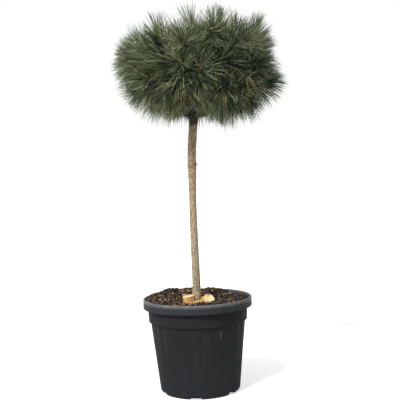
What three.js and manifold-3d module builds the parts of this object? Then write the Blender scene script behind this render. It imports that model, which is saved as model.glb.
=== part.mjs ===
// Standard pine: a grafted pine grown as a round head on a clear stem, in a 30 litre nursery pot.
// Millimetres, +Z up. The origin is the centre of the pot's flat underside.
// Each limb, each mass of needles, the pot, the soil and each sawn stub is its own closed mesh.

import * as THREE from 'three';
import { mergeVertices } from 'three/addons/utils/BufferGeometryUtils.js';
import Module from 'manifold-3d';

const wasm = await Module();
wasm.setup();

// ---------------------------------------------------------------- driving dimensions

const GAP = 0.35; // clearance between neighbouring solids

const POT = {
  height: 345,
  lipRadius: 200,
  lipDepth: 34,
  lipBevel: 5,
  mouthRadius: 192.5, // inner edge of the lip at the top
  bandTop: 183, // outer radius just under the lip
  bandFoot: 181,
  bandFootHeight: 268,
  stepRadius: 174, // the body begins here, under the band
  stepHeight: 260,
  footRadius: 147,
  footHeight: 13, // where the rounded bottom corner begins
  baseRadius: 134, // edge of the flat underside
  wall: 3.2,
  floor: 14,
  flutes: 26,
  fluteDepth: 2.2,
};

const NOTCH = { count: 6, first: -7, width: 40, height: 11, inner: 121 }; // drainage notches in the foot
const DRAIN = { count: 6, radius: 8, circle: 82, sides: 8 }; // drain holes through the floor

const SOIL = { level: 325, seatRadius: 25, edgeRadius: 186.5, crumbs: 2.2 };
const SOIL_RINGS = [1, 0.86, 0.7, 0.52, 0.34, SOIL.seatRadius / SOIL.edgeRadius, 0]; // shares of the edge
const MOUNDS = [ // heaps of potting mix: place, height, spread
  { x: -112, y: 118, height: 33, spread: 48 },
  { x: -35, y: 168, height: 29, spread: 50 },
  { x: 68, y: 158, height: 28, spread: 50 },
  { x: -156, y: 8, height: 21, spread: 60 },
  { x: -172, y: 66, height: 12, spread: 55 },
  { x: 110, y: -60, height: 5, spread: 60 },
];

const TRUNK = { foot: SOIL.level, top: 1034, sides: 14, steps: 28, ringEase: 0.12 };
const TRUNK_LINE = [ // sideways lean of the stem at a few heights
  { z: 325, x: -1.5 },
  { z: 440, x: -2 },
  { z: 600, x: -4 },
  { z: 760, x: -3 },
  { z: 880, x: -0.5 },
  { z: 960, x: 6.4 },
  { z: 1034, x: 14.5 },
];
const STEM_RADIUS = 14.3; // just above the root flare
const STEM_WAIST = 12.4; // thinnest, near the middle
const WAIST_HEIGHT = 716;
const UPPER_SWELL = { radius: 2.4, over: 180 }; // the stem thickens again above its waist
const FLARE = { radius: 4.6, fade: 20, lobes: 4, lobeDepth: 1.8 };
const SCAR = { z: 828, spread: 13, radius: 1.4 }; // ring of old whorl scars
const GRAFT = { z: 1012, spread: 20, radius: 3 }; // swelling at the graft

const LEADER = {
  foot: TRUNK.top,
  tip: 1285,
  baseRadius: 11,
  tipRadius: 6,
  lean: -6,
  sway: 3,
  sides: 8,
  steps: 9,
  overlap: 4, // how far it starts below the trunk's top, before it is cut
};

const STUBS = [ // sawn side stems at the trunk's foot: centre of the cut, direction, radii
  { name: 'stub_left', cut: [-34, -17, 351], along: [-0.12, -0.03, 0.99], radius: 21, length: 44 },
  { name: 'stub_right', cut: [44, -30, 338.5], along: [0.42, -0.78, 0.46], radius: 21, length: 47 },
];
const STUB_SHAPE = { sides: 14, steps: 2, spread: 0.12, uneven: 0.05, lobes: 3 };

const CROWN = {
  centre: [27, 0, 1213],
  halfWidth: 303,
  halfDepth: 294,
  halfTop: 192,
  halfUnder: 248,
  roundness: 2.1, // superellipse power on the rounder left side
  boxiness: 3.6, // and on the fuller right side
  lump: 0.034, // unevenness of the outline
  lumpSeed: 15,
  tuftGap: 7, // space between neighbouring masses
  rounding: 9, // power that rounds the masses' inner edges
  uneven: 0.055, // lumps on each mass
  detail: 3, // how finely each mass is divided
};
const SIDE_TUFT = { at: [364, 0, 1122], reach: 0.15, spread: 0.22 }; // the shoot that stands out furthest

// Rings of boughs with one mass of needles each: first azimuth, circle and height of the masses'
// middles, and where on the stem the boughs start, every second one higher by the stagger.
const WHORLS = [
  { name: 'lower', count: 8, start: 12, circle: 205, height: 1102, from: 1004, stagger: 17, base: 6.6 },
  { name: 'upper', count: 5, start: 36, circle: 142, height: 1264, from: 1092, stagger: 22, base: 5.4 },
];
const WHORL_SHIFT = 0.8; // how far the rings follow the crown's middle sideways
const SCATTER = { turn: 0.18, circle: 0.05, height: 14 }; // uneven spacing of the masses in a ring
const TOP_MASS = [18, 0, 1322];
const HOLLOW = [ // bare middle of the crown, round the limbs: a place on the leader and its clear radius
  { z: 1015, clear: 74 },
  { z: 1095, clear: 88 },
  { z: 1180, clear: 66 },
  { z: 1240, clear: 40 },
];
const BOUGH = { sides: 7, steps: 7, tipShare: 0.62, rise: 0.3 };

const COLOURS = {
  pot: 0x303135,
  soil: 0x53453a,
  bark: 0xaf9f87,
  limb: 0x6f6251,
  cutWood: 0xdcc08a,
  needles: 0x3b4031,
};

// ---------------------------------------------------------------- small tools

const RADIANS = Math.PI / 180;

function material(colour, roughness) {
  return new THREE.MeshStandardMaterial({ color: colour, roughness, metalness: 0 });
}

function bump(distance, spread) {
  return Math.exp(-((distance / spread) ** 2));
}

// Azimuth 0 is the front, -Y, and it grows towards +X.
function outward(azimuth) {
  return new THREE.Vector3(Math.sin(azimuth * RADIANS), -Math.cos(azimuth * RADIANS), 0);
}

// Welds a geometry into one closed shell, without the zero triangles that a lathe leaves on its axis.
function weld(geometry) {
  geometry.deleteAttribute('normal');
  geometry.deleteAttribute('uv');
  const welded = mergeVertices(geometry, 1e-3);
  const from = welded.index.array;
  const kept = [];
  for (let i = 0; i < from.length; i += 3) {
    const [a, b, c] = [from[i], from[i + 1], from[i + 2]];
    if (a !== b && b !== c && c !== a) kept.push(a, b, c);
  }
  welded.setIndex(kept);
  return faceOut(welded);
}

function faceOut(geometry) {
  const place = geometry.attributes.position;
  const index = geometry.index.array;
  const corner = [new THREE.Vector3(), new THREE.Vector3(), new THREE.Vector3()];
  let volume = 0;
  for (let i = 0; i < index.length; i += 3) {
    corner.forEach((v, k) => v.fromBufferAttribute(place, index[i + k]));
    volume += corner[0].dot(corner[1].clone().cross(corner[2]));
  }
  if (volume < 0) {
    for (let i = 0; i < index.length; i += 3) {
      [index[i], index[i + 1]] = [index[i + 1], index[i]];
    }
  }
  return geometry;
}

function toSolid(geometry) {
  return new wasm.Manifold(new wasm.Mesh({
    numProp: 3,
    vertProperties: new Float32Array(geometry.attributes.position.array),
    triVerts: new Uint32Array(geometry.index.array),
  }));
}

function toGeometry(solid) {
  const mesh = solid.getMesh();
  const geometry = new THREE.BufferGeometry();
  geometry.setAttribute('position', new THREE.BufferAttribute(mesh.vertProperties, 3));
  geometry.setIndex(new THREE.BufferAttribute(mesh.triVerts, 1));
  return geometry;
}

function cut(geometry, tools) {
  let solid = toSolid(geometry);
  for (const tool of tools) solid = solid.subtract(toSolid(tool));
  return toGeometry(solid);
}

// Slow waves over the unit sphere, from -1 to 1, different for each seed.
function waves(direction, seed) {
  const { x, y, z } = direction;
  const a = Math.sin(3.1 * x + 1.7 * z + seed * 1.9);
  const b = Math.sin(3.7 * y - 2.3 * x + seed * 3.1);
  const c = Math.sin(4.3 * z + 2.9 * y + seed * 4.7);
  return (a + b + c) / 3;
}

// ---------------------------------------------------------------- pot and soil

function fluted(geometry) {
  const place = geometry.attributes.position;
  const step = Math.PI / POT.flutes;
  for (let i = 0; i < place.count; i++) {
    const [x, y, z] = [place.getX(i), place.getY(i), place.getZ(i)];
    const radius = Math.hypot(x, z);
    const outside = radius > coneRadius(y) - POT.wall / 2;
    if (!outside || y < POT.footHeight || y > POT.stepHeight) continue;
    const furrow = Math.round(Math.atan2(x, z) / step) % 2 !== 0;
    const share = (y - POT.footHeight) / (POT.stepHeight - POT.footHeight);
    const scale = 1 - (furrow ? POT.fluteDepth * share : 0) / radius;
    place.setXYZ(i, x * scale, y, z * scale);
  }
  return geometry;
}

function coneRadius(height) {
  const share = (height - POT.footHeight) / (POT.stepHeight - POT.footHeight);
  return POT.footRadius + (POT.stepRadius - POT.footRadius) * share;
}

function potGeometry() {
  const under = POT.height - POT.lipDepth;
  const profile = [
    [0, 0],
    [POT.baseRadius, 0],
    [POT.footRadius - 5, 3.5],
    [POT.footRadius, POT.footHeight],
    [POT.stepRadius, POT.stepHeight],
    [POT.bandFoot, POT.bandFootHeight],
    [POT.bandTop, under - 2],
    [POT.lipRadius, under],
    [POT.lipRadius, POT.height - POT.lipBevel],
    [POT.lipRadius - POT.lipBevel, POT.height],
    [POT.mouthRadius, POT.height - 1],
    [POT.mouthRadius - 2, under + 18],
    [POT.bandTop - POT.wall, under - 2],
    [POT.bandFoot - POT.wall, POT.bandFootHeight],
    [POT.stepRadius - POT.wall - POT.fluteDepth, POT.stepHeight],
    [POT.footRadius - POT.wall - 1, POT.floor],
    [0, POT.floor],
  ];
  const points = profile.map(([radius, height]) => new THREE.Vector2(radius, height));
  const shell = fluted(new THREE.LatheGeometry(points, 2 * POT.flutes)).rotateX(Math.PI / 2);
  return cut(weld(shell), [...notchTools(), ...drainTools()]);
}

function notchTools() {
  return Array.from({ length: NOTCH.count }, (_, k) => {
    const azimuth = NOTCH.first + (k * 360) / NOTCH.count;
    const middle = outward(azimuth).multiplyScalar((NOTCH.inner + POT.lipRadius) / 2);
    const tool = new THREE.BoxGeometry(NOTCH.width, POT.lipRadius - NOTCH.inner, 2 * NOTCH.height);
    return weld(tool.rotateZ(azimuth * RADIANS).translate(middle.x, middle.y, 0));
  });
}

function drainTools() {
  return Array.from({ length: DRAIN.count }, (_, k) => {
    const middle = outward(NOTCH.first + ((k + 0.5) * 360) / DRAIN.count).multiplyScalar(DRAIN.circle);
    const tool = new THREE.CylinderGeometry(DRAIN.radius, DRAIN.radius, 4 * POT.floor, DRAIN.sides);
    return weld(tool.rotateX(Math.PI / 2).translate(middle.x, middle.y, 0));
  });
}

function soilHeight(x, y) {
  const radius = Math.hypot(x, y);
  const heaps = MOUNDS.reduce((sum, m) => sum + m.height * bump(Math.hypot(x - m.x, y - m.y), m.spread), 0);
  const crumbs = SOIL.crumbs * Math.sin(x * 0.11 + y * 0.07) * Math.cos(y * 0.13 - x * 0.05);
  const away = Math.min(1, Math.max(0, (radius - SOIL.seatRadius) / SOIL.seatRadius));
  return SOIL.level - GAP + away * (heaps + crumbs);
}

function soilGeometry(tools) {
  const under = POT.height - POT.lipDepth;
  const wall = [
    [0, POT.floor + GAP],
    [POT.footRadius - POT.wall - 2 - GAP, POT.floor + GAP],
    [POT.stepRadius - POT.wall - POT.fluteDepth - GAP, POT.stepHeight],
    [POT.bandFoot - POT.wall - 1 - GAP, POT.bandFootHeight + 3],
    [POT.bandTop - POT.wall - 1 - GAP, under],
  ];
  const points = wall.map(([radius, height]) => new THREE.Vector2(radius, height));
  for (const share of SOIL_RINGS) points.push(new THREE.Vector2(share * SOIL.edgeRadius, SOIL.level));
  const body = new THREE.LatheGeometry(points, POT.flutes).rotateX(Math.PI / 2);
  const place = body.attributes.position;
  for (let i = 0; i < place.count; i++) {
    if (place.getZ(i) > SOIL.level - 1) place.setZ(i, soilHeight(place.getX(i), place.getY(i)));
  }
  return cut(weld(body), tools);
}

// ---------------------------------------------------------------- limbs

// A limb is a closed cylinder bent along a curve, with its own radius at each place.
function limbGeometry(curve, radiusAt, sides, steps, grow = 0) {
  const geometry = new THREE.CylinderGeometry(1, 1, 1, sides, steps);
  const frames = curve.computeFrenetFrames(steps, false);
  const place = geometry.attributes.position;
  const point = new THREE.Vector3();
  for (let i = 0; i < place.count; i++) {
    const share = place.getY(i) + 0.5;
    const step = Math.round(share * steps);
    const angle = Math.atan2(place.getZ(i), place.getX(i));
    const inCap = Math.hypot(place.getX(i), place.getZ(i)) < 0.5;
    const radius = inCap ? 0 : radiusAt(share, angle) + grow;
    curve.getPointAt(share, point);
    point.addScaledVector(frames.normals[step], radius * Math.cos(angle));
    point.addScaledVector(frames.binormals[step], -radius * Math.sin(angle));
    place.setXYZ(i, point.x, point.y, point.z);
  }
  return weld(geometry);
}

function stemX(z) {
  const curve = new THREE.CatmullRomCurve3(TRUNK_LINE.map((p) => new THREE.Vector3(p.x, 0, p.z)));
  const span = TRUNK.top - TRUNK.foot;
  return curve.getPointAt(Math.min(1, Math.max(0, (z - TRUNK.foot) / span))).x;
}

function stemRadius(z, angle) {
  const taper = z < WAIST_HEIGHT
    ? STEM_WAIST + (STEM_RADIUS - STEM_WAIST) * ((WAIST_HEIGHT - z) / (WAIST_HEIGHT - TRUNK.foot))
    : STEM_WAIST + UPPER_SWELL.radius * Math.min(1, (z - WAIST_HEIGHT) / UPPER_SWELL.over);
  const nearFoot = Math.exp(-(z - TRUNK.foot) / FLARE.fade);
  const flare = nearFoot * (FLARE.radius + FLARE.lobeDepth * Math.cos(FLARE.lobes * angle + 0.6));
  const scar = SCAR.radius * bump(z - SCAR.z, SCAR.spread);
  const graft = GRAFT.radius * bump(z - GRAFT.z, GRAFT.spread);
  return taper + flare + scar + graft;
}

// The stem's rings stay level, so that its foot and its top are cut flat.
function trunkGeometry(grow = 0) {
  const geometry = new THREE.CylinderGeometry(1, 1, 1, TRUNK.sides, TRUNK.steps);
  const place = geometry.attributes.position;
  for (let i = 0; i < place.count; i++) {
    const share = place.getY(i) + 0.5;
    // closer rings at the flare
    const eased = share + TRUNK.ringEase * Math.sin(2 * Math.PI * share) * (share - 1);
    const z = TRUNK.foot + (TRUNK.top - TRUNK.foot) * eased;
    const angle = Math.atan2(place.getZ(i), place.getX(i));
    const inCap = Math.hypot(place.getX(i), place.getZ(i)) < 0.5;
    const radius = inCap ? 0 : stemRadius(z, angle) + grow;
    const beyond = grow * Math.sign(share - 0.5) * (share === 0 || share === 1 ? 1 : 0);
    place.setXYZ(i, stemX(z) + radius * Math.cos(angle), -radius * Math.sin(angle), z + beyond);
  }
  return weld(geometry);
}

function leaderCurve() {
  const x = stemX(LEADER.foot);
  const rise = LEADER.tip - LEADER.foot;
  return new THREE.CatmullRomCurve3([
    new THREE.Vector3(x, 0, LEADER.foot - LEADER.overlap),
    new THREE.Vector3(x + LEADER.sway, LEADER.sway, LEADER.foot + rise * 0.35),
    new THREE.Vector3(x + LEADER.lean / 2, -LEADER.sway, LEADER.foot + rise * 0.7),
    new THREE.Vector3(x + LEADER.lean, 0, LEADER.tip),
  ]);
}

function leaderGeometry(grow = 0) {
  const radiusAt = (share) => LEADER.baseRadius + (LEADER.tipRadius - LEADER.baseRadius) * share;
  return limbGeometry(leaderCurve(), radiusAt, LEADER.sides, LEADER.steps, grow);
}

function axisPoint(z) {
  if (z <= TRUNK.top) return new THREE.Vector3(stemX(z), 0, z);
  const share = Math.min(1, (z - LEADER.foot) / (LEADER.tip - LEADER.foot));
  return leaderCurve().getPointAt(share);
}

// A bough leaves the stem nearly level, and turns up into the middle of its mass.
function boughGeometry(bough, tools) {
  const start = axisPoint(bough.from);
  const elbow = start.clone().lerp(bough.seat, 0.5);
  elbow.z -= BOUGH.rise * (bough.seat.z - start.z);
  const curve = new THREE.QuadraticBezierCurve3(start, elbow, bough.seat);
  const radiusAt = (share) => bough.base * (1 - (1 - BOUGH.tipShare) * share);
  return cut(limbGeometry(curve, radiusAt, BOUGH.sides, BOUGH.steps), tools);
}

function stubGeometry(stub, tools, grow = 0) {
  const along = new THREE.Vector3(...stub.along).normalize();
  const end = new THREE.Vector3(...stub.cut).addScaledVector(along, grow);
  const root = end.clone().addScaledVector(along, -stub.length - 2 * grow);
  const { sides, steps, spread, uneven, lobes } = STUB_SHAPE;
  const radiusAt = (share, angle) => {
    return stub.radius * (1 + spread * (1 - share) + uneven * Math.sin(lobes * angle));
  };
  const tube = limbGeometry(new THREE.LineCurve3(root, end), radiusAt, sides, steps, grow);
  return tools.length ? cut(tube, tools) : tube;
}

// ---------------------------------------------------------------- masses of needles

// Below 1 inside the crown's outline and above 1 outside it.
function crownValue(point) {
  const [cx, cy, cz] = CROWN.centre;
  const from = new THREE.Vector3(point.x - cx, point.y - cy, point.z - cz);
  const length = from.length();
  if (length < 1) return 0;
  const direction = from.clone().divideScalar(length);
  const side = (1 + from.x / (Math.hypot(from.x, from.y) + 1)) / 2;
  const power = CROWN.roundness + (CROWN.boxiness - CROWN.roundness) * side;
  const halfHeight = from.z > 0 ? CROWN.halfTop : CROWN.halfUnder;
  const sum = Math.abs(from.x / CROWN.halfWidth) ** power
    + Math.abs(from.y / CROWN.halfDepth) ** power
    + Math.abs(from.z / halfHeight) ** power;
  const tuft = new THREE.Vector3(...SIDE_TUFT.at).sub(new THREE.Vector3(cx, cy, cz)).normalize();
  const reach = 1 + CROWN.lump * waves(direction.clone().multiplyScalar(2.6), CROWN.lumpSeed)
    + SIDE_TUFT.reach * bump(direction.distanceTo(tuft), SIDE_TUFT.spread);
  return sum ** (1 / power) / reach;
}

function distanceToOutline(from, direction) {
  let near = 0;
  let far = 2 * CROWN.halfWidth;
  for (let k = 0; k < 30; k++) {
    const middle = (near + far) / 2;
    const inside = crownValue(from.clone().addScaledVector(direction, middle)) < 1;
    if (inside) near = middle;
    else far = middle;
  }
  return near;
}

// A mass fills its share of the crown: it ends at the outline, half-way to each neighbour, and at
// the bare middle. Rounding keeps it inside all of these planes, so neighbours never meet.
function massGeometry(mass, all, grow = 0) {
  const walls = all.filter((other) => other !== mass).map((other) => {
    const normal = other.seat.clone().sub(mass.seat);
    const distance = normal.length() / 2 - CROWN.tuftGap / 2;
    return { normal: normal.normalize(), distance };
  });
  for (const bare of HOLLOW) {
    const normal = axisPoint(bare.z).sub(mass.seat);
    const distance = normal.length() - bare.clear;
    if (mass.ring) walls.push({ normal: normal.normalize(), distance });
  }
  const geometry = new THREE.IcosahedronGeometry(1, CROWN.detail);
  const place = geometry.attributes.position;
  const direction = new THREE.Vector3();
  for (let i = 0; i < place.count; i++) {
    direction.fromBufferAttribute(place, i).normalize();
    const limits = [distanceToOutline(mass.seat, direction)];
    for (const wall of walls) {
      const facing = direction.dot(wall.normal);
      if (facing > 0.05) limits.push(wall.distance / facing);
    }
    const rounded = limits.reduce((sum, limit) => sum + limit ** -CROWN.rounding, 0);
    const shape = 1 - CROWN.uneven * (1 + waves(direction.clone().multiplyScalar(2.4), mass.seed));
    const radius = rounded ** (-1 / CROWN.rounding) * shape + grow;
    place.setXYZ(i, ...mass.seat.clone().addScaledVector(direction, radius).toArray());
  }
  return weld(geometry);
}

function massList() {
  const masses = [];
  for (const whorl of WHORLS) {
    for (let k = 0; k < whorl.count; k++) {
      const wobble = Math.sin(k * 2.4 + whorl.height);
      const azimuth = whorl.start + ((k + SCATTER.turn * wobble) * 360) / whorl.count;
      const seat = outward(azimuth).multiplyScalar(whorl.circle * (1 + SCATTER.circle * wobble));
      const height = whorl.height + SCATTER.height * Math.cos(k * 1.9);
      seat.add(new THREE.Vector3(CROWN.centre[0] * WHORL_SHIFT, 0, height));
      masses.push({
        ring: whorl.name,
        number: k + 1,
        seed: masses.length + 1,
        seat,
        from: whorl.from + (k % 2) * whorl.stagger,
        base: whorl.base,
      });
    }
  }
  masses.push({ ring: null, seed: masses.length + 1, seat: new THREE.Vector3(...TOP_MASS) });
  return masses;
}

// ---------------------------------------------------------------- assembly

const group = new THREE.Group();

function add(name, geometry, colour, roughness) {
  const mesh = new THREE.Mesh(geometry, material(colour, roughness));
  mesh.name = name;
  geometry.computeVertexNormals();
  group.add(mesh);
}

const trunkTool = trunkGeometry(GAP);
const leaderTool = leaderGeometry(GAP);

add('pot', potGeometry(), COLOURS.pot, 0.6);
add('soil', soilGeometry(STUBS.map((stub) => stubGeometry(stub, [], GAP))), COLOURS.soil, 0.95);
add('trunk', trunkGeometry(), COLOURS.bark, 0.9);
for (const stub of STUBS) add(stub.name, stubGeometry(stub, [trunkTool]), COLOURS.cutWood, 0.85);

const masses = massList();
for (const mass of masses) {
  const name = mass.ring ? `needles_${mass.ring}_${mass.number}` : 'needles_top';
  const massTool = massGeometry(mass, masses, GAP);
  add(name, massGeometry(mass, masses), COLOURS.needles, 0.8);
  if (mass.ring) {
    const bough = boughGeometry(mass, [trunkTool, leaderTool, massTool]);
    add(`bough_${mass.ring}_${mass.number}`, bough, COLOURS.limb, 0.9);
  } else {
    add('leader', cut(leaderGeometry(), [trunkTool, massTool]), COLOURS.limb, 0.9);
  }
}

export default group;
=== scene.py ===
import math

import bmesh
import bpy
import numpy as np
from mathutils import Matrix, Vector, noise
from mathutils.bvhtree import BVHTree


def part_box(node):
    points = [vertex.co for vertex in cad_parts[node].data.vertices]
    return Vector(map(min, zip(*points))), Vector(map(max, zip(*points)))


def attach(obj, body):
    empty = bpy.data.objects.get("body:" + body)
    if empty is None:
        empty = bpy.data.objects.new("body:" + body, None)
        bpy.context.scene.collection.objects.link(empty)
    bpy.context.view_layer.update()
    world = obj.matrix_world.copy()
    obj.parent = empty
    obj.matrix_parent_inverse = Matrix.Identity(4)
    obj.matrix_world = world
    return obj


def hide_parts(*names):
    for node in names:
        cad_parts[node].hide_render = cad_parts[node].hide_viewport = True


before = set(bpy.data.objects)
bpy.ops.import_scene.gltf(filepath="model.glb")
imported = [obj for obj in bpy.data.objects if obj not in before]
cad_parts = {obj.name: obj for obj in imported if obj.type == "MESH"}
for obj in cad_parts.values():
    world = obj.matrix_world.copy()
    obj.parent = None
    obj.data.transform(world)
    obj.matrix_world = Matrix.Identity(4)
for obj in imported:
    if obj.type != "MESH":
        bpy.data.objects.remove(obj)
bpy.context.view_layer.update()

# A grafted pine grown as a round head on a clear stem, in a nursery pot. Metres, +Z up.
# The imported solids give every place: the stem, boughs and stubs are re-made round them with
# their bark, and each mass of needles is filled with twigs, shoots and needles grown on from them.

MM = 0.001
UP = np.array([0.0, 0.0, 1.0])
GOLDEN_TURN = math.pi * (3 - math.sqrt(5))
rng = np.random.default_rng(11)

# ------------------------------------------------------------------ sizes

POT_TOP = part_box("pot")[1].z
LIP_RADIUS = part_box("pot")[1].x
LIP_DEPTH = 34 * MM
MOUTH_RADIUS = LIP_RADIUS - 7.5 * MM
BAND_TOP_RADIUS = LIP_RADIUS - 17 * MM
BAND_FOOT_RADIUS = LIP_RADIUS - 19 * MM
BAND_FOOT_HEIGHT = 268 * MM
STEP_RADIUS = LIP_RADIUS - 26 * MM
STEP_HEIGHT = 260 * MM
FOOT_RADIUS = 147 * MM
FOOT_HEIGHT = 13 * MM
BASE_RADIUS = 134 * MM
POT_WALL = 3.2 * MM
POT_FLOOR = 14 * MM
FLUTES = 26
FLUTE_DEPTH = 2.8 * MM
FLUTE_START = 50 * MM
NOTCHES = 6
NOTCH_FIRST = math.radians(-7)
NOTCH_HALF_WIDTH = 20 * MM
NOTCH_HEIGHT = 11 * MM
NOTCH_INNER = 121 * MM
DRAIN_CIRCLE = 82 * MM
DRAIN_RADIUS = 8 * MM
POT_SEGMENTS = 312

NEEDLE_LENGTH = 103 * MM
NEEDLE_RADIUS = 0.74 * MM
NEEDLED_LENGTH = 82 * MM
SHOOT_RADIUS = 2.1 * MM
SIDE_DEPTH = 83 * MM  # how far the shoots' tips stand inside the outline at the sides
TOP_DEPTH = 160 * MM  # and on top, where only the tallest shoots reach the outline
UNDER_DEPTH = 78 * MM
LOW_SIDE_EXTRA = 34 * MM  # more where the crown draws in below its widest part
BUD_DEPTH = 72 * MM
SHOOT_SPACING = 62 * MM
INNER_DEPTH = 150 * MM
INNER_SPACING = 70 * MM
STEM_CLEARANCE = 62 * MM
LIMBS_START = 1100 * MM  # above this height shoots may stand over the stem
OPEN_BELOW = 1006 * MM  # no needle hangs in front of the stem below this height
OPEN_HALF_WIDTH = 23 * MM
SCAR_LEVEL = 823 * MM  # the ring of a scar round the stem

# The shoots below stand where they show most; the rest are dealt out at random between them. In mm.
# Shoots that show plainly from the front: sideways place and height of the tip, whether a bud
# shows, the share of old yellow needles, and how far the shoot leans sideways and up.
FRONT_SHOOTS = [
    (-11, 1250, True, 0, -0.15, 0.45), (86, 1288, True, 0, 0.05, 0.6), (-22, 1180, True, 0, -0.2, 0.3),
    (41, 1155, True, 0, 0.5, 0.25), (-78, 1190, False, 0, -0.7, 0.5), (-180, 1182, True, 0, -0.35, 0.2),
    (-140, 1136, False, 0, -0.4, 0.1), (208, 1240, True, 0, 0.8, 0.5), (36, 1118, False, 0, 0.0, -0.35),
    (123, 1090, False, 0.24, 0.1, -0.5), (170, 1075, False, 0, 0.6, -0.1),
    (-182, 1100, False, 0, -0.6, -0.2), (-84, 1085, False, 0.1, -0.3, -0.4),
    (118, 1182, False, 0, 0.7, 0.2), (222, 1165, False, 0, 0.9, 0.1), (4, 1068, False, 0.26, 0.0, -0.6),
    (-100, 1250, False, 0, -0.5, 0.6), (150, 1235, False, 0, 0.5, 0.5), (205, 1112, False, 0.16, 0.5, -0.5),
    (268, 1120, False, 0, 1.0, 0.0), (-42, 1112, False, 0.06, -0.4, -0.3),
    (-26, 1062, False, 0.08, -0.15, -0.9), (34, 1060, False, 0.08, 0.15, -0.9),
    (6, 1050, False, 0, 0.0, -0.7),
]
# Shoots that stand up on top: place of the tip, lean sideways, spread in degrees.
TOP_SHOOTS = [
    (-106, -30, 1314, -0.1, 22), (14, -40, 1326, -0.15, 44), (112, -20, 1334, 0.1, 24),
    (173, 10, 1310, 0.1, 30), (240, -20, 1298, 0.4, 46), (-168, -20, 1266, -0.4, 40),
    (-50, 60, 1266, -0.2, 40), (66, 60, 1276, 0.05, 36), (20, 130, 1282, 0.1, 42), (120, 120, 1288, 0.2, 38),
    (-90, 110, 1266, -0.3, 40), (200, 110, 1262, 0.4, 44), (70, 190, 1252, 0.0, 44),
]
# Shoots that hang lowest: place of the tip, lean sideways, spread in degrees.
UNDER_SHOOTS = [
    (112, -70, 1050, 0.0, 42), (168, -90, 1058, 0.2, 46), (74, -120, 1074, -0.15, 42),
    (204, -50, 1074, 0.3, 44), (-92, -70, 1072, -0.3, 44), (-50, -100, 1068, -0.05, 40),
    (-138, -60, 1090, -0.4, 46), (140, 60, 1060, 0.1, 46), (-70, 90, 1070, -0.2, 46),
    (40, 110, 1068, 0.0, 46), (62, -52, 1062, 0.1, 38), (-46, -34, 1064, -0.15, 38),
    (-72, 8, 1068, -0.2, 42), (66, 30, 1066, 0.15, 42), (-20, 66, 1066, -0.1, 42), (26, -78, 1096, 0.0, 44),
    (-26, -66, 1076, -0.15, 40), (2, -58, 1080, 0.05, 40), (40, -44, 1068, 0.1, 40),
    (-34, -90, 1092, -0.1, 42),
]
# Shoots that stand out at the sides: place of the tip, lean sideways and rise.
SIDE_SHOOTS = [
    (-206, -10, 1240, -1, 0.3), (-210, 25, 1206, -1, 0.08), (-204, -45, 1218, -1, 0.08),
    (-172, -12, 1160, -1, -0.1), (-148, 20, 1128, -1, -0.3), (-126, -20, 1100, -0.8, -0.7),
    (-186, 50, 1250, -1, 0.3), (272, 0, 1124, 1, -0.02), (256, 0, 1238, 1, 0.2), (240, 12, 1176, 1, 0.1),
    (246, -5, 1276, 1, 0.45), (176, 0, 1082, 0.5, -0.8),
]
# Dead needles that lie on the front of the crown: sideways place and height of both ends.
STRAWS = [
    (197, 1122, 222, 1053), (203, 1120, 231, 1062), (-14, 1082, -24, 1040), (14, 1070, 50, 1024),
    (-2, 1062, 20, 1028),
]
STRAW_DEPTH = 22 * MM

# ------------------------------------------------------------------ meshes from arrays


def add_object(name, data):
    piece = bpy.data.objects.new(name, data)
    bpy.context.scene.collection.objects.link(piece)
    return piece


def apply_modifiers(piece):
    """Puts what a piece's modifiers make of it in place of its mesh."""
    made = piece.evaluated_get(bpy.context.evaluated_depsgraph_get())
    mesh = bpy.data.meshes.new_from_object(made)
    piece.modifiers.clear()
    piece.data = mesh


def mesh_object(name, vertices, faces, smooth=True):
    """One mesh from an array of vertices and a list of face arrays, each with its own corner count."""
    vertices = np.asarray(vertices, np.float32)
    faces = [np.asarray(group, np.int32) for group in faces if len(group)]
    corners = np.concatenate([group.ravel() for group in faces])
    sizes = np.concatenate([np.full(len(group), group.shape[1]) for group in faces])
    mesh = bpy.data.meshes.new(name)
    mesh.vertices.add(len(vertices))
    mesh.vertices.foreach_set("co", vertices.ravel())
    mesh.loops.add(len(corners))
    mesh.loops.foreach_set("vertex_index", corners)
    mesh.polygons.add(len(sizes))
    mesh.polygons.foreach_set("loop_start", np.concatenate([[0], np.cumsum(sizes)[:-1]]).astype(np.int32))
    mesh.update(calc_edges=True)
    mesh.polygons.foreach_set("use_smooth", np.full(len(sizes), smooth))
    return add_object(name, mesh)


class Pile:
    """Gathers many small shapes that become one piece."""

    def __init__(self):
        self.vertices = []
        self.quads = []
        self.triangles = []
        self.count = 0

    def add(self, vertices, quads=(), triangles=()):
        self.vertices.append(np.asarray(vertices).reshape(-1, 3))
        if len(quads):
            self.quads.append(np.asarray(quads) + self.count)
        if len(triangles):
            self.triangles.append(np.asarray(triangles) + self.count)
        self.count += len(self.vertices[-1])

    def piece(self, name, smooth=True):
        faces = [np.concatenate(group) for group in (self.quads, self.triangles) if group]
        return mesh_object(name, np.concatenate(self.vertices), faces, smooth)


def finish_piece(piece, materials, nodes):
    """Materials, body and the CAD nodes that the piece stands for, which it hides."""
    for material in materials:
        piece.data.materials.append(material)
    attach(piece, "root")
    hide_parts(*nodes)
    return piece


def unit(v):
    v = np.asarray(v, float)
    return v / np.maximum(np.linalg.norm(v, axis=-1, keepdims=True), 1e-12)


def across(direction):
    """Two directions square to each given one."""
    direction = np.asarray(direction, float)
    helper = np.where(np.abs(direction[..., 2:]) < 0.9, UP, np.array([1.0, 0.0, 0.0]))
    side = unit(np.cross(direction, helper))
    return side, np.cross(direction, side)


def turns(count):
    """Angles evenly round a full turn."""
    return np.arange(count) * 2 * math.pi / count


def spokes(side, other, angles):
    """Directions turned by angles in the plane of two given ones."""
    return np.cos(angles)[:, None] * side + np.sin(angles)[:, None] * other


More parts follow.
